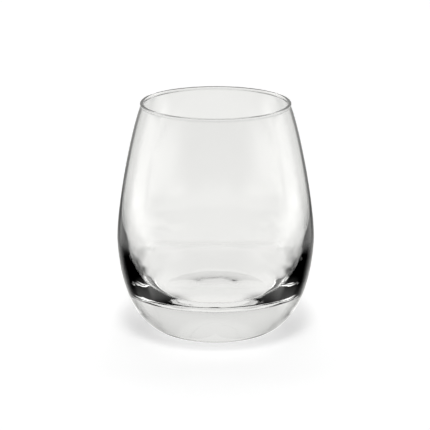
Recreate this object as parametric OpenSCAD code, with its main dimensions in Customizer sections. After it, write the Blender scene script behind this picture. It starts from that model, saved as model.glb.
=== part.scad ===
// Stemless wine glass with a tapered mouth, a rounded lip and a heavy base.
// One piece of clear glass, turned about the Z axis and standing on z = 0.
// Millimetres, +Z up, origin at the centre of the foot on the table.

/* [Outside form] */
// Height from the table to the top of the lip
height = 96; // [84:0.5:120]
// Outside diameter at the widest part of the belly
belly_d = 82; // [74:0.5:96]
// Height of the widest part of the belly
belly_z = 39.2; // [36:0.2:46]
// Outside diameter of the lip
rim_d = 62; // [54:0.5:70]
// Lean of the wall just under the lip, from vertical
rim_lean = 21; // [8:1:26]
// Climb of the wall where it leaves the foot, from the table
foot_climb = 24; // [10:1:40]

/* [Lip and wall] */
// Thickness of the rounded bead that the flame leaves along the lip
bead_d = 1.5; // [1.3:0.1:2.4]
// Height of the straight collar from the top of the lip to the neck
collar_h = 2.8; // [2.4:0.1:5]
// How far the neck lies inside the outside of the bead
neck_inset = 0.1; // [0:0.05:0.4]
// Wall thickness at the neck, under the bead
neck_wall = 1.2; // [0.9:0.05:1.3]
// Wall thickness at the height where the bowl is widest inside
belly_wall = 2.2; // [1.4:0.1:4]

/* [Bowl and base] */
// Height of the widest part of the bowl's inside
bowl_wide_z = 45.4; // [42:0.2:52]
// Height of the bowl's nearly flat floor above the table, at the centre
bowl_floor_z = 16.6; // [12:0.2:20]
// Dip of the bowl's inside at its heel, where the side turns into the floor, from the table
heel_dip = 20; // [12:1:30]

/* [Foot] */
// Outside diameter of the ring that the glass stands on
foot_d = 48; // [40:0.5:54]
// Width of the standing ring, up to the corner that the rounding takes off
foot_land = 2.5; // [1:0.1:5]
// Radius of the rounding between the standing ring and the wall
foot_round_r = 3; // [1:0.5:6]
// How far the underside is pushed up at the centre
recess_h = 1.2; // [0.4:0.1:3]

/* [Hidden] */

// Straight stretches that stand for one curve of the wall, for the floor's and for one small curve
wall_steps = 36;
floor_steps = 24;
small_steps = 12;
// Facets round the axis in a preview
round_steps = 180;

// Reach of each curve's two ends along their own directions, as a share of the curve's height
foot_reach_share = 0.41;
belly_under_share = 0.165;
belly_over_share = 0.205;
neck_reach_share = 0.24;
bowl_neck_share = 0.22;
bowl_over_share = 0.26;
bowl_side_share = 0.26;
heel_over_share = 0.32;
// The same for the floor's two ends, as a share of the heel's radius
heel_under_share = 0.122;
bowl_floor_share = 0.444;
// Where the heel lies, as a share of the way out to the bowl's side and up to its widest part
heel_out_share = 0.7216;
heel_up_share = 0.018;
// The collar's curve, as a share of the height from the neck to the bead's middle
collar_share = 0.35;
// The underside's dome, as a share of its radius
recess_share = 0.45;

belly_r = belly_d / 2;
rim_r = rim_d / 2;
foot_r = foot_d / 2;
bead_r = bead_d / 2;
bead_mid_r = rim_r - bead_r;
bead_mid_z = height - bead_r;
neck_z = height - collar_h;
neck_r = rim_r - neck_inset;
bowl_neck_r = neck_r - neck_wall;
bowl_wide_r = belly_r - belly_wall;
recess_r = foot_r - foot_land;
// Length that the rounding takes off each side of the corner at the foot
foot_round_cut = foot_round_r * tan(foot_climb / 2);

upper_h = neck_z - belly_z;
bowl_upper_h = neck_z - bowl_wide_z;
heel_r = bowl_wide_r * heel_out_share;
heel_z = bowl_floor_z + (bowl_wide_z - bowl_floor_z) * heel_up_share;
bowl_lower_h = bowl_wide_z - heel_z;
collar_reach = (bead_mid_z - neck_z) * collar_share;

// Direction in the profile plane, counted from straight out towards straight up
function way(angle) = [cos(angle), sin(angle)];
OUT = way(0);
UP = way(90);

// Point at share t of the cubic curve between a and b, with handles ha and hb
function on_curve(a, ha, hb, b, t) =
    pow(1 - t, 3) * a
    + 3 * t * pow(1 - t, 2) * ha
    + 3 * pow(t, 2) * (1 - t) * hb
    + pow(t, 3) * b;

// Points of a curve from a to b that leaves a along reach_a and arrives at b along reach_b
function curve(a, reach_a, reach_b, b, steps) =
    [for (i = [1 : steps]) on_curve(a, a + reach_a, b - reach_b, b, i / steps)];

// Points of the arc from the standing ring to the wall
function foot_arc(steps) =
    [for (i = [0 : steps])
        [foot_r - foot_round_cut, foot_round_r] + foot_round_r * way(foot_climb * i / steps - 90)];

// Points of the half circle over the lip, from its outside to its inside
function lip_arc(steps) =
    [for (i = [1 : steps]) [bead_mid_r, bead_mid_z] + bead_r * way(180 * i / steps)];

foot_side = [foot_r, 0] + way(foot_climb) * foot_round_cut;
belly = [belly_r, belly_z];
neck = [neck_r, neck_z];
bead_out = [rim_r, bead_mid_z];
bead_in = [rim_r - bead_d, bead_mid_z];
bowl_neck = [bowl_neck_r, neck_z];
bowl_wide = [bowl_wide_r, bowl_wide_z];
bowl_heel = [heel_r, heel_z];
bowl_floor = [0, bowl_floor_z];
recess_top = [0, recess_h];
recess_edge = [recess_r, 0];
leaning_in = way(90 + rim_lean);
dipping_in = way(180 + heel_dip);

// Half section of the glass: up the outside, over the lip, down the inside, out along the underside
glass_section = concat(
    foot_arc(small_steps),
    curve(
        foot_side,
        way(foot_climb) * belly_z * foot_reach_share,
        UP * belly_z * belly_under_share,
        belly,
        wall_steps
    ),
    curve(
        belly,
        UP * upper_h * belly_over_share,
        leaning_in * upper_h * neck_reach_share,
        neck,
        wall_steps
    ),
    curve(neck, leaning_in * collar_reach, UP * collar_reach, bead_out, small_steps),
    lip_arc(small_steps),
    curve(bead_in, -UP * collar_reach, -leaning_in * collar_reach, bowl_neck, small_steps),
    curve(
        bowl_neck,
        -leaning_in * bowl_upper_h * bowl_neck_share,
        -UP * bowl_upper_h * bowl_over_share,
        bowl_wide,
        wall_steps
    ),
    curve(
        bowl_wide,
        -UP * bowl_lower_h * bowl_side_share,
        dipping_in * bowl_lower_h * heel_over_share,
        bowl_heel,
        wall_steps
    ),
    curve(
        bowl_heel,
        dipping_in * heel_r * heel_under_share,
        -OUT * heel_r * bowl_floor_share,
        bowl_floor,
        floor_steps
    ),
    [recess_top],
    curve(
        recess_top,
        OUT * recess_r * recess_share,
        OUT * recess_r * recess_share,
        recess_edge,
        small_steps
    )
);

// The whole glass: foot, heavy base, thin wall and lip in one turned piece
module wine_glass() {
    color([0.86, 0.90, 0.89, 0.45])
        rotate_extrude($fn = round_steps)
            polygon(glass_section);
}

wine_glass();
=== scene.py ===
"""Looks of a clear stemless wine glass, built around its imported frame.

The glass is one revolved piece. A Geometry Nodes tree turns its half section about the Z axis,
from the same named sizes as the construction model with a finer lip, and a procedural glass finish
dresses it. Everything is in metres, +Z up, with the foot's centre at the origin.
"""
import logging
import math
from dataclasses import dataclass, fields
from enum import Enum
from typing import ClassVar, Sequence

import bmesh
import bpy
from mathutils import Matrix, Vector


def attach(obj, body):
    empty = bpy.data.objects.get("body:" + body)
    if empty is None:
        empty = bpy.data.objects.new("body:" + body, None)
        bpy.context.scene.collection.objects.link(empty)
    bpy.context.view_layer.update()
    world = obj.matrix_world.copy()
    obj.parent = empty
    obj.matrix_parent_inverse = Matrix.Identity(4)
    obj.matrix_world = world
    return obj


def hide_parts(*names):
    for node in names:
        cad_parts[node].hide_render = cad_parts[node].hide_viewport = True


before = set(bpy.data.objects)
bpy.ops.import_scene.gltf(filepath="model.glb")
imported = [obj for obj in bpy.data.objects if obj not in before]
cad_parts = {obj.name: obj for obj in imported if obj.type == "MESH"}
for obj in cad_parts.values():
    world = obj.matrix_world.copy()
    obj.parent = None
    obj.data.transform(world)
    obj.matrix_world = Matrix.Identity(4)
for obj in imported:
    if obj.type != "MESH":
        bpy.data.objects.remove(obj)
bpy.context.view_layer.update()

MM = 0.001
NODE = "wine_glass"
BODY = "root"

log = logging.getLogger("wine_glass")

Socket = bpy.types.NodeSocket
Number = float | Socket


class Operation(Enum):
    """What a Math node does with its numbers."""

    ADD = "ADD"
    SUBTRACT = "SUBTRACT"
    MULTIPLY = "MULTIPLY"
    DIVIDE = "DIVIDE"
    SQUARE_ROOT = "SQRT"
    ABSOLUTE = "ABSOLUTE"
    LARGER = "MAXIMUM"
    ABOVE = "GREATER_THAN"
    BELOW = "LESS_THAN"
    SINE = "SINE"
    COSINE = "COSINE"
    TANGENT = "TANGENT"
    ARC_SINE = "ARCSINE"
    ARC_TANGENT = "ARCTAN2"
    RADIANS = "RADIANS"
    DEGREES = "DEGREES"


class NodeWriter:
    """Adds nodes to a tree and links them, so that a formula reads as one."""

    def __init__(self, tree: bpy.types.NodeTree) -> None:
        """Keeps the tree that the nodes go to.

        Args:
            tree: the tree that is being written.
        """
        self.tree = tree

    def add(self, kind: str, **settings: object) -> bpy.types.Node:
        """Adds a node and sets its properties.

        Args:
            kind: the node's type name.
            settings: property names and their values.

        Returns:
            The new node.
        """
        node = self.tree.nodes.new(kind)
        for name, value in settings.items():
            setattr(node, name, value)
        return node

    def feed(self, socket: Socket, value: object) -> None:
        """Links a socket to another one, or sets its value.

        Args:
            socket: the input to feed.
            value: an output socket, or a plain value.
        """
        if isinstance(value, Socket):
            self.tree.links.new(value, socket)
        else:
            socket.default_value = value

    def math(self, operation: Operation, first: Number, second: Number = 0.0) -> Socket:
        """Adds a Math node.

        Args:
            operation: what the node does.
            first: the first number.
            second: the second number, which some operations leave out.

        Returns:
            The result's socket.
        """
        node = self.add("ShaderNodeMath", operation=operation.value)
        for socket, value in zip(node.inputs, (first, second)):
            self.feed(socket, value)
        return node.outputs[0]

    def plus(self, first: Number, second: Number) -> Socket:
        """Returns the sum of two numbers."""
        return self.math(Operation.ADD, first, second)

    def minus(self, first: Number, second: Number) -> Socket:
        """Returns the first number less the second."""
        return self.math(Operation.SUBTRACT, first, second)

    def times(self, first: Number, second: Number) -> Socket:
        """Returns the product of two numbers."""
        return self.math(Operation.MULTIPLY, first, second)

    def larger(self, first: Number, second: Number) -> Socket:
        """Returns the larger of two numbers."""
        return self.math(Operation.LARGER, first, second)

    def split(self, vector: Socket) -> tuple[Socket, Socket, Socket]:
        """Parts a vector.

        Args:
            vector: the vector's socket.

        Returns:
            Its three numbers.
        """
        node = self.add("ShaderNodeSeparateXYZ")
        self.feed(node.inputs[0], vector)
        return tuple(node.outputs)

    def noise(self, place: Socket, scale: Number) -> Socket:
        """Adds a soft noise.

        Args:
            place: the coordinates that it is read at.
            scale: how many swells go to a metre.

        Returns:
            The noise, from 0 to 1.
        """
        node = self.add("ShaderNodeTexNoise", noise_dimensions="3D")
        self.feed(node.inputs["Vector"], place)
        self.feed(node.inputs["Scale"], scale)
        self.feed(node.inputs["Detail"], 1.0)
        return node.outputs[0]

    def ramp(self, value: Number, start: float, end: float, low: float = 0.0, high: float = 1.0) -> Socket:
        """Adds a smooth step.

        Args:
            value: the number that is read.
            start: where the step starts.
            end: where the step ends.
            low: the result before the step.
            high: the result after the step.

        Returns:
            The result's socket.
        """
        node = self.add("ShaderNodeMapRange", interpolation_type="SMOOTHSTEP")
        for name, number in (
            ("Value", value), ("From Min", start), ("From Max", end), ("To Min", low), ("To Max", high)
        ):
            self.feed(node.inputs[name], number)
        return node.outputs["Result"]


@dataclass(frozen=True)
class Stretch:
    """One stretch of the half section: a curve from a start to an end point, with a reach at each end."""

    start: Socket
    leave: Socket
    arrive: Socket
    end: Socket
    steps: Socket


class SectionWriter(NodeWriter):
    """Writes the half section of a turned piece, in a plane where X is the radius and Y is the height."""

    def __init__(self, tree: bpy.types.NodeTree) -> None:
        """Adds the tree's input and output nodes.

        Args:
            tree: an empty Geometry Nodes tree.
        """
        super().__init__(tree)
        self.entry = self.add("NodeGroupInput")
        self.exit = self.add("NodeGroupOutput")

    def size(self, name: str, value: float) -> Socket:
        """Adds a named size to the tree's inputs.

        Args:
            name: the size's name.
            value: its value.

        Returns:
            The input node's socket.
        """
        kind = "NodeSocketInt" if isinstance(value, int) else "NodeSocketFloat"
        made = self.tree.interface.new_socket(name, in_out="INPUT", socket_type=kind)
        made.default_value = value
        return self.entry.outputs[name]

    def point(self, radius: Number, height: Number) -> Socket:
        """Adds a point of the section plane.

        Args:
            radius: its distance from the axis.
            height: its height over the table.

        Returns:
            The point's socket.
        """
        node = self.add("ShaderNodeCombineXYZ")
        self.feed(node.inputs["X"], radius)
        self.feed(node.inputs["Y"], height)
        return node.outputs[0]

    def way(self, degrees: Number, reach: Number) -> Socket:
        """Adds a step in the section plane.

        Args:
            degrees: its direction, counted from outwards towards up.
            reach: its length.

        Returns:
            The step's socket.
        """
        angle = self.math(Operation.RADIANS, degrees)
        outwards = self.times(self.math(Operation.COSINE, angle), reach)
        upwards = self.times(self.math(Operation.SINE, angle), reach)
        return self.point(outwards, upwards)

    def tangent(self, degrees: Number) -> Socket:
        """Returns the tangent of an angle in degrees."""
        return self.math(Operation.TANGENT, self.math(Operation.RADIANS, degrees))

    def moved(self, point: Socket, step: Socket) -> Socket:
        """Moves a point by a step.

        Args:
            point: the point's socket.
            step: the step's socket.

        Returns:
            The moved point's socket.
        """
        node = self.add("ShaderNodeVectorMath", operation="ADD")
        self.feed(node.inputs[0], point)
        self.feed(node.inputs[1], step)
        return node.outputs[0]

    def scaled(self, step: Socket, factor: Number) -> Socket:
        """Scales a step.

        Args:
            step: the step's socket.
            factor: the number that it is multiplied by.

        Returns:
            The scaled step's socket.
        """
        node = self.add("ShaderNodeVectorMath", operation="SCALE")
        self.feed(node.inputs["Vector"], step)
        self.feed(node.inputs["Scale"], factor)
        return node.outputs[0]

    def back(self, step: Socket) -> Socket:
        """Returns a step turned round."""
        return self.scaled(step, -1.0)

    def curve(self, stretch: Stretch) -> Socket:
        """Draws one stretch.

        Args:
            stretch: the stretch to draw.

        Returns:
            The curve's socket.
        """
        node = self.add("GeometryNodeCurvePrimitiveBezierSegment", mode="OFFSET")
        self.feed(node.inputs["Start"], stretch.start)
        self.feed(node.inputs["Start Handle"], stretch.leave)
        self.feed(node.inputs["End Handle"], self.back(stretch.arrive))
        self.feed(node.inputs["End"], stretch.end)
        self.feed(node.inputs["Resolution"], stretch.steps)
        return node.outputs[0]

    def join(self, parts: Sequence[Socket]) -> Socket:
        """Joins several geometries into one.

        Args:
            parts: the geometries' sockets.

        Returns:
            The joined geometry's socket.
        """
        node = self.add("GeometryNodeJoinGeometry")
        for part in parts:
            self.tree.links.new(part, node.inputs[0])
        return node.outputs[0]

    def revolve(self, section: Socket, spindle: Socket, round_steps: Socket) -> Socket:
        """Turns a section about the Z axis.

        Args:
            section: curves in the section plane.
            spindle: radius of the circle that carries the section, which can be any size over zero.
            round_steps: how many facets go round.

        Returns:
            The turned mesh's socket.
        """
        circle = self.add("GeometryNodeCurvePrimitiveCircle")
        self.feed(circle.inputs["Resolution"], round_steps)
        self.feed(circle.inputs["Radius"], spindle)
        upright = self.add("GeometryNodeSetCurveNormal", mode="Z_UP")
        self.feed(upright.inputs["Curve"], circle.outputs[0])
        # The circle's own frame has its second axis pointing down, so the section is turned over
        placed = self.add("GeometryNodeTransform")
        self.feed(placed.inputs["Geometry"], section)
        self.feed(placed.inputs["Translation"], self.point(self.times(spindle, -1.0), 0.0))
        placed.inputs["Rotation"].default_value = (math.pi, 0.0, 0.0)
        sweep = self.add("GeometryNodeCurveToMesh")
        self.feed(sweep.inputs["Curve"], upright.outputs[0])
        self.feed(sweep.inputs["Profile Curve"], placed.outputs[0])
        return sweep.outputs[0]


@dataclass
class WineGlass:
    """The whole glass: foot, heavy base, thin wall and rounded lip, in one turned piece.

    Lengths are in millimetres, as in the construction model, and angles in degrees. A share of a
    reach is a share of the length that its stretch spans.
    """

    height: float = 96.0
    belly_d: float = 82.0
    belly_z: float = 39.2
    rim_d: float = 62.0
    rim_lean: float = 21.0
    foot_climb: float = 24.0
    bead_d: float = 1.5
    collar_h: float = 1.5
    neck_inset: float = 0.2
    neck_wall: float = 1.05
    belly_wall: float = 2.2
    bowl_wide_z: float = 45.4
    bowl_floor_z: float = 16.6
    heel_dip: float = 20.0
    foot_d: float = 48.0
    foot_land: float = 2.5
    foot_round_r: float = 3.0
    recess_h: float = 1.2
    foot_reach_share: float = 0.41
    belly_under_share: float = 0.165
    belly_over_share: float = 0.205
    neck_reach_share: float = 0.24
    bowl_neck_share: float = 0.22
    bowl_over_share: float = 0.26
    bowl_side_share: float = 0.26
    heel_over_share: float = 0.32
    heel_under_share: float = 0.122
    bowl_floor_share: float = 0.444
    heel_out_share: float = 0.7216
    heel_up_share: float = 0.018
    collar_share: float = 0.5
    bead_square_share: float = 0.75
    recess_share: float = 0.45
    wall_steps: int = 58
    small_steps: int = 12
    round_steps: int = 256
    # The ripples of the outside, which set in between two shares of the belly's radius
    ripple_h: float = 0.07
    ripple_pitch: float = 6.0
    ripple_start_share: float = 0.5
    ripple_full_share: float = 0.75

    LENGTHS: ClassVar[tuple[str, ...]] = (
        "height", "belly_d", "belly_z", "rim_d", "bead_d", "collar_h", "neck_inset", "neck_wall",
        "belly_wall", "bowl_wide_z", "bowl_floor_z", "foot_d", "foot_land", "foot_round_r", "recess_h",
        "ripple_h", "ripple_pitch",
    )
    # Handles of an arc, as a share of its radius and the tangent of a quarter of its angle
    ARC_HANDLE_SHARE: ClassVar[float] = 4.0 / 3.0
    # Points closer than this, in millimetres, are one
    WELD: ClassVar[float] = 0.001
    # Upward less outward part of the direction into the glass, over which a place is on its outside
    OUTSIDE_LIMIT: ClassVar[float] = 0.2

    def sizes(self) -> dict[str, float]:
        """Returns every size by name, with the lengths in metres."""
        named = {size.name: getattr(self, size.name) for size in fields(self)}
        return {name: value * MM if name in self.LENGTHS else value for name, value in named.items()}

    def section(self, w: SectionWriter, s: dict[str, Socket]) -> list[Stretch]:
        """Lays out the half section, from the foot up the outside, over the lip and down the inside.

        Args:
            w: the writer of the tree.
            s: the tree's named sizes.

        Returns:
            The section's stretches, in order.
        """
        belly_r, rim_r, foot_r, bead_r = (
            w.times(s[name], 0.5) for name in ("belly_d", "rim_d", "foot_d", "bead_d")
        )
        bead_z = w.minus(s["height"], bead_r)
        neck_z = w.minus(s["height"], s["collar_h"])
        neck_r = w.minus(rim_r, s["neck_inset"])
        bowl_r = w.minus(belly_r, s["belly_wall"])
        ring_r = w.minus(foot_r, s["foot_land"])
        lean = w.plus(s["rim_lean"], 90.0)

        heel_r = w.times(bowl_r, s["heel_out_share"])
        bowl_depth = w.minus(s["bowl_wide_z"], s["bowl_floor_z"])
        heel_z = w.plus(s["bowl_floor_z"], w.times(bowl_depth, s["heel_up_share"]))
        climb = s["foot_climb"]
        cut = w.times(s["foot_round_r"], w.tangent(w.times(climb, 0.5)))
        bend = w.times(w.times(s["foot_round_r"], w.tangent(w.times(climb, 0.25))), self.ARC_HANDLE_SHARE)

        foot_under = w.point(w.minus(foot_r, cut), 0.0)
        foot_side = w.moved(w.point(foot_r, 0.0), w.way(climb, cut))
        belly = w.point(belly_r, s["belly_z"])
        neck = w.point(neck_r, neck_z)
        bead_out = w.point(rim_r, bead_z)
        bead_top = w.point(w.minus(rim_r, bead_r), s["height"])
        bead_in = w.point(w.minus(rim_r, s["bead_d"]), bead_z)
        bowl_neck = w.point(w.minus(neck_r, s["neck_wall"]), neck_z)
        bowl_wide = w.point(bowl_r, s["bowl_wide_z"])
        bowl_heel = w.point(heel_r, heel_z)
        bowl_floor = w.point(0.0, s["bowl_floor_z"])
        recess_top = w.point(0.0, s["recess_h"])
        ring = w.point(ring_r, 0.0)

        upper = w.minus(neck_z, s["belly_z"])
        bowl_upper = w.minus(neck_z, s["bowl_wide_z"])
        bowl_lower = w.minus(s["bowl_wide_z"], heel_z)
        dip = w.plus(s["heel_dip"], 180.0)
        collar = w.times(w.minus(bead_z, neck_z), s["collar_share"])
        arc = w.times(bead_r, s["bead_square_share"])
        dome = w.way(0.0, w.times(ring_r, s["recess_share"]))
        collar_in = w.way(lean, collar)
        many, few = s["wall_steps"], s["small_steps"]

        return [
            Stretch(foot_under, w.way(0.0, bend), w.way(climb, bend), foot_side, few),
            Stretch(
                foot_side,
                w.way(climb, w.times(s["belly_z"], s["foot_reach_share"])),
                w.way(90.0, w.times(s["belly_z"], s["belly_under_share"])),
                belly,
                many,
            ),
            Stretch(
                belly,
                w.way(90.0, w.times(upper, s["belly_over_share"])),
                w.way(lean, w.times(upper, s["neck_reach_share"])),
                neck,
                many,
            ),
            Stretch(neck, collar_in, w.way(90.0, collar), bead_out, few),
            Stretch(bead_out, w.way(90.0, arc), w.way(180.0, arc), bead_top, few),
            Stretch(bead_top, w.way(180.0, arc), w.way(-90.0, arc), bead_in, few),
            Stretch(bead_in, w.way(-90.0, collar), w.back(collar_in), bowl_neck, few),
            Stretch(
                bowl_neck,
                w.back(w.way(lean, w.times(bowl_upper, s["bowl_neck_share"]))),
                w.way(-90.0, w.times(bowl_upper, s["bowl_over_share"])),
                bowl_wide,
                many,
            ),
            Stretch(
                bowl_wide,
                w.way(-90.0, w.times(bowl_lower, s["bowl_side_share"])),
                w.way(dip, w.times(bowl_lower, s["heel_over_share"])),
                bowl_heel,
                many,
            ),
            Stretch(
                bowl_heel,
                w.way(dip, w.times(heel_r, s["heel_under_share"])),
                w.way(180.0, w.times(heel_r, s["bowl_floor_share"])),
                bowl_floor,
                many,
            ),
            Stretch(recess_top, dome, dome, ring, few),
            Stretch(ring, w.way(0.0, 0.0), w.way(0.0, 0.0), foot_under, few),
        ]

    def ripple(self, w: SectionWriter, turned: Socket, s: dict[str, Socket]) -> Socket:
        """Gives the outside the low unevenness that glass has round its heavy base, up to the belly.

        Args:
            w: the writer of the tree.
            turned: the turned mesh.
            s: the tree's named sizes.

        Returns:
            The rippled mesh's socket.
        """
        place = w.add("GeometryNodeInputPosition").outputs[0]
        # The faces still look into the glass here, and are turned outwards when the mesh is finished
        inwards = w.add("GeometryNodeInputNormal").outputs[0]
        x, y, z = w.split(place)
        in_x, in_y, in_z = w.split(inwards)
        radius = w.math(Operation.SQUARE_ROOT, w.plus(w.times(x, x), w.times(y, y)))
        along = w.plus(w.times(x, in_x), w.times(y, in_y))
        from_axis = w.math(Operation.DIVIDE, along, w.larger(radius, MM))
        outside = w.math(Operation.ABOVE, w.minus(in_z, from_axis), self.OUTSIDE_LIMIT)
        wide_z, belly_r = s["bowl_wide_z"], w.times(s["belly_d"], 0.5)
        half_up = w.times(w.plus(s["bowl_floor_z"], wide_z), 0.5)
        low = w.ramp(z, half_up, wide_z, 1.0, 0.0)
        out = w.ramp(
            radius, w.times(belly_r, s["ripple_start_share"]), w.times(belly_r, s["ripple_full_share"])
        )
        swell = w.noise(place, w.math(Operation.DIVIDE, 1.0, s["ripple_pitch"]))
        wave = w.times(w.minus(swell, 0.5), w.times(s["ripple_h"], 2.0))
        shift = w.add("GeometryNodeSetPosition")
        w.feed(shift.inputs["Geometry"], turned)
        share = w.times(outside, w.times(low, out))
        w.feed(shift.inputs["Offset"], w.scaled(inwards, w.times(wave, share)))
        return shift.outputs[0]

    def tree(self, finish: bpy.types.Material) -> bpy.types.NodeTree:
        """Writes the tree that turns the glass.

        Args:
            finish: the material that the glass gets.

        Returns:
            The Geometry Nodes tree.
        """
        tree = bpy.data.node_groups.new("turned_glass", "GeometryNodeTree")
        tree.is_modifier = True
        tree.interface.new_socket("Geometry", in_out="OUTPUT", socket_type="NodeSocketGeometry")
        w = SectionWriter(tree)
        s = {name: w.size(name, value) for name, value in self.sizes().items()}
        curves = w.join([w.curve(stretch) for stretch in self.section(w, s)])
        turned = w.revolve(curves, w.times(s["belly_d"], 0.5), s["round_steps"])
        weld = w.add("GeometryNodeMergeByDistance")
        w.feed(weld.inputs["Geometry"], turned)
        weld.inputs["Distance"].default_value = self.WELD * MM
        smooth = w.add("GeometryNodeSetShadeSmooth")
        w.feed(smooth.inputs["Geometry"], self.ripple(w, weld.outputs[0], s))
        real = w.add("GeometryNodeRealizeInstances")
        w.feed(real.inputs["Geometry"], smooth.outputs[0])
        dress = w.add("GeometryNodeSetMaterial")
        w.feed(dress.inputs["Geometry"], real.outputs[0])
        dress.inputs["Material"].default_value = finish
        w.feed(w.exit.inputs[0], dress.outputs[0])
        return tree

    def build(self, finish: bpy.types.Material) -> bpy.types.Object:
        """Turns the glass into a plain mesh and puts it on the frame.

        Args:
            finish: the material that the glass gets.

        Returns:
            The finished piece.
        """
        carrier = bpy.data.objects.new("glass_carrier", bpy.data.meshes.new("glass_carrier"))
        bpy.context.scene.collection.objects.link(carrier)
        modifier = carrier.modifiers.new("turn", "NODES")
        tree = self.tree(finish)
        modifier.node_group = tree
        sizes = self.sizes()
        for item in tree.interface.items_tree:
            if item.item_type == "SOCKET" and item.in_out == "INPUT":
                modifier[item.identifier] = sizes[item.name]
        graph = bpy.context.evaluated_depsgraph_get()
        mesh = bpy.data.meshes.new_from_object(carrier.evaluated_get(graph))
        carrier.modifiers.remove(modifier)
        bpy.data.objects.remove(carrier)
        turn_outwards(mesh)
        mesh.name = "glass_wall"
        piece = bpy.data.objects.new("glass_wall", mesh)
        bpy.context.scene.collection.objects.link(piece)
        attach(piece, BODY)
        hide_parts(NODE)
        return piece


def turn_outwards(mesh: bpy.types.Mesh) -> None:
    """Turns every face of a closed mesh outwards, and reports whether it is closed.

    Args:
        mesh: the mesh to turn.
    """
    shape = bmesh.new()
    shape.from_mesh(mesh)
    open_edges = sum(1 for edge in shape.edges if not edge.is_manifold)
    bmesh.ops.recalc_face_normals(shape, faces=shape.faces)
    shape.to_mesh(mesh)
    shape.free()
    log.info("glass mesh: %d faces, %d open edges", len(mesh.polygons), open_edges)


@dataclass(frozen=True)
class ClearGlass:
    """Clear soda-lime glass, smooth and glossy.

    Light from the lamps goes on to the table where it meets the wall squarely, and is held back
    where it grazes the wall, as a real glass turns it aside there. Lengths are in millimetres.
    """

    ior: float = 1.52
    # How far the wall turns from the light, from 0 to 1, where it starts and ends to hold it back
    clear_facing: float = 0.2
    grazing_facing: float = 1.0
    # The faint waviness of the surface
    wave_pitch: float = 14.0
    wave_h: float = 0.012
    # The trace of roughness, which sets in between two levels of a noise
    smear_pitch: float = 30.0
    smear_start: float = 0.45
    smear_full: float = 0.75
    smear_roughness: float = 0.01

    def material(self) -> bpy.types.Material:
        """Makes the glass as a node material.

        Returns:
            The material.
        """
        material = bpy.data.materials.new("clear_glass")
        material.use_nodes = True
        tree = material.node_tree
        w = NodeWriter(tree)
        shader = tree.nodes["Principled BSDF"]
        shader.inputs["Base Color"].default_value = (1.0, 1.0, 1.0, 1.0)
        shader.inputs["Transmission Weight"].default_value = 1.0
        shader.inputs["IOR"].default_value = self.ior
        place = w.add("ShaderNodeTexCoord").outputs["Object"]
        smear = w.noise(place, 1.0 / (self.smear_pitch * MM))
        roughness = w.ramp(smear, self.smear_start, self.smear_full, 0.0, self.smear_roughness)
        w.feed(shader.inputs["Roughness"], roughness)
        bump = w.add("ShaderNodeBump")
        w.feed(bump.inputs["Height"], w.noise(place, 1.0 / (self.wave_pitch * MM)))
        bump.inputs["Distance"].default_value = self.wave_h * MM
        w.feed(shader.inputs["Normal"], bump.outputs[0])
        facing = w.add("ShaderNodeLayerWeight").outputs["Facing"]
        passed = w.add("ShaderNodeBsdfTransparent")
        w.feed(passed.inputs["Color"], w.ramp(facing, self.clear_facing, self.grazing_facing, 1.0, 0.0))
        mixed = w.add("ShaderNodeMixShader")
        w.feed(mixed.inputs[0], w.add("ShaderNodeLightPath").outputs["Is Shadow Ray"])
        w.feed(mixed.inputs[1], shader.outputs[0])
        w.feed(mixed.inputs[2], passed.outputs[0])
        w.feed(tree.nodes["Material Output"].inputs["Surface"], mixed.outputs[0])
        return material


@dataclass(frozen=True)
class Edge:
    """A soft edge: where its middle lies and half the width of its fade.

    Both are in degrees for a card and in millimetres for a patch of the table.
    """

    at: float
    fade: float

    def opens(self, w: NodeWriter, place: Socket) -> Socket:
        """Writes a step that rises as the angle or place passes the edge."""
        return w.ramp(place, self.at - self.fade, self.at + self.fade)

    def closes(self, w: NodeWriter, place: Socket) -> Socket:
        """Writes a step that falls as the angle or place passes the edge."""
        return w.ramp(place, self.at - self.fade, self.at + self.fade, 1.0, 0.0)


@dataclass(frozen=True)
class Card:
    """A card of the studio, given by the directions that it fills as seen from the glass.

    Its near and far edges are azimuths, counted from the front, where the camera stands, and the same
    to the left and right. Its low and high edges are elevations. Where it has no edge it goes all the
    way. A bright card's strength is its brightness, and a black flag's is the share of the light that
    it takes.
    """

    name: str
    strength: float
    near: Edge | None = None
    far: Edge | None = None
    low: Edge | None = None
    high: Edge | None = None

    def brightness(self, w: NodeWriter, azimuth: Socket, elevation: Socket) -> Socket:
        """Writes the card's brightness for a direction.

        Args:
            w: the writer of the world's tree.
            azimuth: the direction's angle from the front, from 0 to 180.
            elevation: the direction's angle above the horizon.

        Returns:
            The brightness.
        """
        brightness = w.add("ShaderNodeValue", label=self.name).outputs[0]
        brightness.default_value = self.strength
        for edge, angle in ((self.near, azimuth), (self.low, elevation)):
            if edge is not None:
                brightness = w.times(brightness, edge.opens(w, angle))
        for edge, angle in ((self.far, azimuth), (self.high, elevation)):
            if edge is not None:
                brightness = w.times(brightness, edge.closes(w, angle))
        return brightness


@dataclass(frozen=True)
class PaintedLightPatch:
    """A patch of painted light on the table, the same to the left and right: an emission that only the
    glass shows.
    """

    strength: float
    side: Edge
    front: Edge
    back: Edge

    def mask(self, w: NodeWriter) -> Socket:
        """Writes how far a place on the table lies inside the patch.

        Args:
            w: the writer of the floor's tree.

        Returns:
            The share, from 0 to 1.
        """
        x, y, _ = w.split(w.add("ShaderNodeTexCoord").outputs["Object"])
        across, along = w.times(w.math(Operation.ABSOLUTE, x), 1.0 / MM), w.times(y, 1.0 / MM)
        inside = w.times(self.front.opens(w, along), self.back.closes(w, along))
        return w.times(self.side.closes(w, across), inside)


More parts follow.
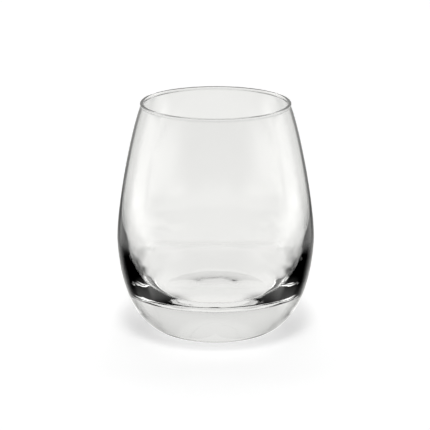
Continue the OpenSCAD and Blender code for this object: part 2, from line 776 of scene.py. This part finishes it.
@dataclass(frozen=True)
class Lamp:
    """A soft far lamp, with its azimuth from the front, its elevation and its spread in degrees.

    It lights the floor, and the glass doesn't mirror it.
    """

    name: str
    azimuth: float
    elevation: float
    energy: float
    spread: float

    def hang(self) -> bpy.types.Object:
        """Hangs the lamp.

        Returns:
            The lamp.
        """
        data = bpy.data.lights.new(self.name, "SUN")
        data.energy = self.energy
        data.angle = math.radians(self.spread)
        lamp = bpy.data.objects.new(self.name, data)
        bpy.context.scene.collection.objects.link(lamp)
        a, e = math.radians(self.azimuth), math.radians(self.elevation)
        towards = Vector((math.sin(a) * math.cos(e), -math.cos(a) * math.cos(e), math.sin(e)))
        lamp.rotation_mode = "QUATERNION"
        lamp.rotation_quaternion = towards.to_track_quat("Z", "Y")
        lamp.visible_glossy = False
        lamp.visible_transmission = False
        return lamp


@dataclass
class Studio:
    """The white ground, the soft lamps and the camera.

    Angles are in degrees and lengths in metres, apart from the patches of the table.
    """

    cards: tuple[Card, ...] = (
        Card("backdrop", 0.99, near=Edge(166, 9), low=Edge(-29, 4), high=Edge(7, 29)),
        Card("back_top", 0.82, near=Edge(135, 14), low=Edge(-4, 18)),
        Card("back_low", 0.87, near=Edge(167, 9), low=Edge(-6, 11), high=Edge(12, 10)),
        Card("overhead", 0.86, low=Edge(50, 3)),
        Card("ground", 0.47, near=Edge(164, 3), high=Edge(-46, 9)),
        Card("table_behind", 0.93, near=Edge(139, 3), low=Edge(-32, 3), high=Edge(-16, 8)),
        Card("rear_wing", 0.85, Edge(124, 5), Edge(151, 6), Edge(-32, 3), Edge(33, 15)),
        Card("wing_low", 0.69, Edge(105, 4), Edge(129, 10), Edge(-33, 3), Edge(-13, 4)),
        Card("side_card", 1.64, Edge(94, 8), Edge(128, 18), Edge(-18, 4), Edge(11, 4)),
        Card("side_wash", 2.07, Edge(95, 20), Edge(126, 17), Edge(-34, 3), Edge(-2, 5)),
        Card("side_low", 1.87, Edge(46, 19), Edge(127, 3), Edge(-38, 7), Edge(-23, 5)),
    )
    flags: tuple[Card, ...] = (
        Card("rear_flag", 1.0, Edge(98, 5), Edge(150, 15), Edge(-36, 10), Edge(-17, 3)),
        Card("side_flag", 0.86, Edge(29, 11), Edge(121, 7), Edge(-20, 9), Edge(-13, 3)),
        Card("low_flag", 0.25, Edge(112, 10), Edge(162, 8), Edge(-62, 10), Edge(-45, 3)),
    )
    # Patches of painted light on the table: emissions that only the glass shows
    tables: tuple[PaintedLightPatch, ...] = (
        PaintedLightPatch(0.92, side=Edge(33.5, 3), front=Edge(-12.5, 10), back=Edge(74, 8)),
        PaintedLightPatch(0.92, side=Edge(14.5, 5), front=Edge(-23.5, 4), back=Edge(8.5, 13)),
        PaintedLightPatch(0.91, side=Edge(40.5, 6), front=Edge(29, 5), back=Edge(55, 6)),
    )
    lamps: tuple[Lamp, ...] = (
        Lamp("top_front", 0.0, 75.0, 0.71, 14.0),
        Lamp("high_front", 0.0, 60.0, 0.29, 14.0),
        Lamp("low_left", -45.0, 30.0, 0.13, 14.0),
        Lamp("low_right", 45.0, 30.0, 0.13, 14.0),
        Lamp("rear_left", -135.0, 60.0, 0.12, 14.0),
        Lamp("rear_right", 135.0, 60.0, 0.12, 14.0),
        Lamp("high_back", 180.0, 60.0, 0.70, 32.0),
    )
    # Light that comes through the glass without a reflection sees white up to the first azimuth, and
    # up to the second if it has passed both walls of the bowl, or a share of that for one wall
    see_through: Edge = Edge(105.0, 8.0)
    see_walls: Edge = Edge(160.0, 8.0)
    one_wall_share: float = 0.7
    see_through_strength: float = 0.97
    backdrop_tint: tuple[float, float, float] = (1.0, 1.0, 0.98)
    floor_radius: float = 3.0
    floor_sides: int = 96
    # Keeps the floor off the standing ring, so that the two don't share a plane
    floor_gap: float = 0.00002
    # The floor's own light keeps it white round the shadow
    floor_albedo: float = 0.83
    floor_glow: float = 0.52
    # The camera's distance is from this height on the axis, and it looks at the aim
    orbit_z: float = 0.045
    aim: tuple[float, float, float] = (-0.00027, 0.0, 0.04784)
    camera_distance: float = 0.8
    camera_elevation: float = 16.274
    focal_px: float = 1921.5
    frame_px: float = 430.0
    sensor_mm: float = 36.0

    # Counts of what a ray has passed, told apart halfway: both walls of the bowl have four surfaces
    BOTH_WALLS: ClassVar[float] = 3.5
    ANY: ClassVar[float] = 0.5

    def world(self) -> None:
        """Makes the world: plain white for the camera, and the cards for what the glass shows.

        Light that only goes through the glass, without a reflection, sees white towards the front
        and the sides too, so that the glass is as clear from there as from the front.
        """
        world = bpy.data.worlds.new("studio")
        world.use_nodes = True
        bpy.context.scene.world = world
        tree = world.node_tree
        w = NodeWriter(tree)
        x, y, z = w.split(w.add("ShaderNodeTexCoord").outputs["Generated"])
        around = w.math(Operation.ARC_TANGENT, w.math(Operation.ABSOLUTE, x), w.times(y, -1.0))
        azimuth = w.math(Operation.DEGREES, around)
        elevation = w.math(Operation.DEGREES, w.math(Operation.ARC_SINE, z))
        total: Number = 0.0
        for card in self.cards:
            total = w.larger(total, card.brightness(w, azimuth, elevation))
        for flag in self.flags:
            total = w.times(total, w.minus(1.0, flag.brightness(w, azimuth, elevation)))
        path = w.add("ShaderNodeLightPath").outputs
        both_walls = w.math(Operation.ABOVE, path["Transmission Depth"], self.BOTH_WALLS)
        share = w.larger(both_walls, self.one_wall_share)
        walls = w.times(share, self.see_walls.closes(w, azimuth))
        clear = w.larger(walls, self.see_through.closes(w, azimuth))
        unreflected = w.math(Operation.BELOW, path["Glossy Depth"], self.ANY)
        total = w.larger(total, w.times(w.times(unreflected, clear), self.see_through_strength))
        # The floor has its own light, so that the cards make no bright spots on it through the glass
        total = w.times(total, w.math(Operation.BELOW, path["Diffuse Depth"], self.ANY))
        seen = path["Is Camera Ray"]
        strength = w.add("ShaderNodeMix", data_type="FLOAT")
        w.feed(strength.inputs["Factor"], seen)
        w.feed(strength.inputs[2], total)
        strength.inputs[3].default_value = 1.0
        tint = w.add("ShaderNodeMix", data_type="RGBA")
        w.feed(tint.inputs["Factor"], seen)
        tint.inputs[6].default_value = (*self.backdrop_tint, 1.0)
        tint.inputs[7].default_value = (1.0, 1.0, 1.0, 1.0)
        background = tree.nodes["Background"]
        w.feed(background.inputs["Color"], tint.outputs[2])
        w.feed(background.inputs["Strength"], strength.outputs[0])

    def floor(self) -> bpy.types.Object:
        """Makes the pale floor.

        The camera sees a matt floor with the shadow on it. The glass shows patches of painted light
        on the table instead, and what lies beyond them.

        Returns:
            The floor.
        """
        mesh = bpy.data.meshes.new("floor")
        shape = bmesh.new()
        bmesh.ops.create_circle(shape, cap_ends=True, segments=self.floor_sides, radius=self.floor_radius)
        bmesh.ops.translate(shape, verts=shape.verts, vec=(0.0, 0.0, -self.floor_gap))
        shape.to_mesh(mesh)
        shape.free()
        floor = bpy.data.objects.new("floor", mesh)
        bpy.context.scene.collection.objects.link(floor)
        material = bpy.data.materials.new("white_ground")
        material.use_nodes = True
        w = NodeWriter(material.node_tree)
        shader = material.node_tree.nodes["Principled BSDF"]
        shader.inputs["Base Color"].default_value = (self.floor_albedo,) * 3 + (1.0,)
        shader.inputs["Roughness"].default_value = 1.0
        shader.inputs["Specular IOR Level"].default_value = 0.0
        shader.inputs["Emission Color"].default_value = (1.0, 1.0, 1.0, 1.0)
        shader.inputs["Emission Strength"].default_value = self.floor_glow
        shown = w.add("ShaderNodeBsdfTransparent").outputs[0]
        for table in self.tables:
            # Each patch is painted light, an emission over the floor where the glass would show a lit
            # table
            lit = w.add("ShaderNodeEmission")
            lit.inputs["Color"].default_value = (*self.backdrop_tint, 1.0)
            lit.inputs["Strength"].default_value = table.strength
            over = w.add("ShaderNodeMixShader")
            w.feed(over.inputs[0], table.mask(w))
            w.feed(over.inputs[1], shown)
            w.feed(over.inputs[2], lit.outputs[0])
            shown = over.outputs[0]
        path = w.add("ShaderNodeLightPath").outputs
        seen = w.add("ShaderNodeMixShader")
        w.feed(seen.inputs[0], w.larger(path["Is Glossy Ray"], path["Is Transmission Ray"]))
        w.feed(seen.inputs[1], shader.outputs[0])
        w.feed(seen.inputs[2], shown)
        w.feed(material.node_tree.nodes["Material Output"].inputs["Surface"], seen.outputs[0])
        floor.data.materials.append(material)
        return floor

    def hang_lamps(self) -> None:
        """Hangs the soft lamps over the glass."""
        for lamp in self.lamps:
            lamp.hang()

    def camera(self) -> bpy.types.Object:
        """Sets up the camera at the photograph's viewing angle.

        Returns:
            The camera.
        """
        data = bpy.data.cameras.new("camera")
        data.sensor_width = self.sensor_mm
        data.lens = self.focal_px / self.frame_px * self.sensor_mm
        camera = bpy.data.objects.new("camera", data)
        bpy.context.scene.collection.objects.link(camera)
        e = math.radians(self.camera_elevation)
        camera.location = (
            0.0,
            -self.camera_distance * math.cos(e),
            self.orbit_z + self.camera_distance * math.sin(e),
        )
        camera.rotation_mode = "QUATERNION"
        camera.rotation_quaternion = (Vector(self.aim) - camera.location).to_track_quat("-Z", "Y")
        bpy.context.scene.camera = camera
        return camera


def main() -> None:
    """Builds the glass and its studio."""
    logging.basicConfig(level=logging.INFO, format="%(name)s: %(message)s")
    bpy.context.scene.view_settings.view_transform = "Standard"
    studio = Studio()
    studio.camera()
    finish = ClearGlass().material()
    piece = WineGlass().build(finish)
    log.info("piece %s on %s", piece.name, BODY)
    studio.world()
    studio.floor()
    studio.hang_lamps()


if __name__ == "__main__":
    main()
